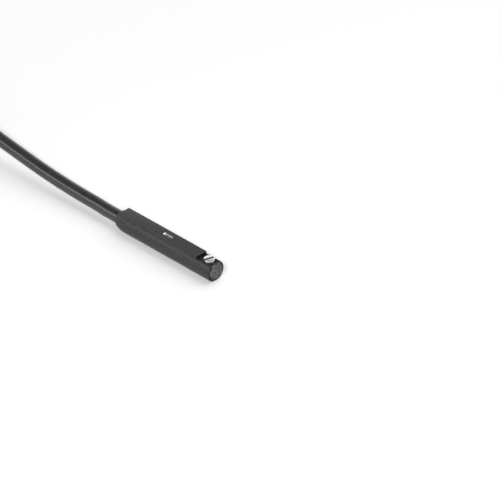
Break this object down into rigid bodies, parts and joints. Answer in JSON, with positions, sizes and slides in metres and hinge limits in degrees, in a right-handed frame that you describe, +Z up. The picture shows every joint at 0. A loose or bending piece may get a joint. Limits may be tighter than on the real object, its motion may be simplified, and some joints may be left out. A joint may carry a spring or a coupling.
{
  "type": "cylinder position sensor",
  "caption": "Slim round-slot cylinder position sensor with a flat-topped housing, a slotted clamp screw, a thin lead folded into a tied hank, and a small threaded plug.",
  "frame": {"origin": "under the middle of the sensor's housing, on the surface that it lies on", "axes": "+X along the housing towards the clamp screw, +Z up through the flat top, +Y to the far side"},
  "size_m": [0.152, 0.0178, 0.0099],
  "materials": {
    "housing_plastic": "fine matt moulded surface, dark grey",
    "block_plastic": "rougher moulded surface, dark grey",
    "screw_steel": "bright turned stainless steel",
    "window_plastic": "milky light guide",
    "board_laminate": "green lacquered laminate",
    "chip_resin": "black moulding resin",
    "led_body": "cream lens and base",
    "capacitor_ceramic": "tan ceramic",
    "core_brown": "brown insulation",
    "core_blue": "blue insulation",
    "core_black": "black insulation",
    "solder_tin": "bright solder",
    "seal_resin": "black sealing resin",
    "cable_jacket": "satin dark grey jacket",
    "tie_plastic": "black strap",
    "grip_plastic": "black soft moulding",
    "coupling_nickel": "nickel-plated brass",
    "carrier_plastic": "black moulding",
    "pin_gold": "gold-plated contact"
  },
  "bodies": {
    "sensor": {"housing": "housing_plastic", "clamp_block": "block_plastic", "indicator_window": "window_plastic", "circuit_board": "board_laminate", "sensing_chip": "chip_resin", "output_chip": "chip_resin", "indicator_led": "led_body", "led_resistor": "chip_resin", "input_resistor": "chip_resin", "filter_capacitor": "capacitor_ceramic", "core_brown": "core_brown", "core_blue": "core_blue", "core_black": "core_black", "solder_joint_brown": "solder_tin", "solder_joint_blue": "solder_tin", "solder_joint_black": "solder_tin", "rear_seal": "seal_resin", "cable_lead": "cable_jacket", "cable_hank": "cable_jacket", "cable_tail": "cable_jacket", "cable_tie": "tie_plastic", "plug_grip": "grip_plastic", "contact_carrier": "carrier_plastic", "contact_pin_1": "pin_gold", "contact_pin_3": "pin_gold", "contact_pin_4": "pin_gold"},
    "clamp_screw": {"clamp_screw": "screw_steel"},
    "coupling_screw": {"coupling_screw": "coupling_nickel"}
  },
  "joints": [
    {"name": "clamp_screw_turn", "type": "hinge", "parent": "sensor", "child": "clamp_screw", "pos_m": [0.01035, 0, 0.002], "axis": [0, 0, 1], "range_deg": [-720, 0]},
    {"name": "coupling_screw_spin", "type": "hinge", "parent": "sensor", "child": "coupling_screw", "pos_m": [-0.13095, 0.0036, 0.00495], "axis": [1, 0, 0], "continuous": true}
  ]
}
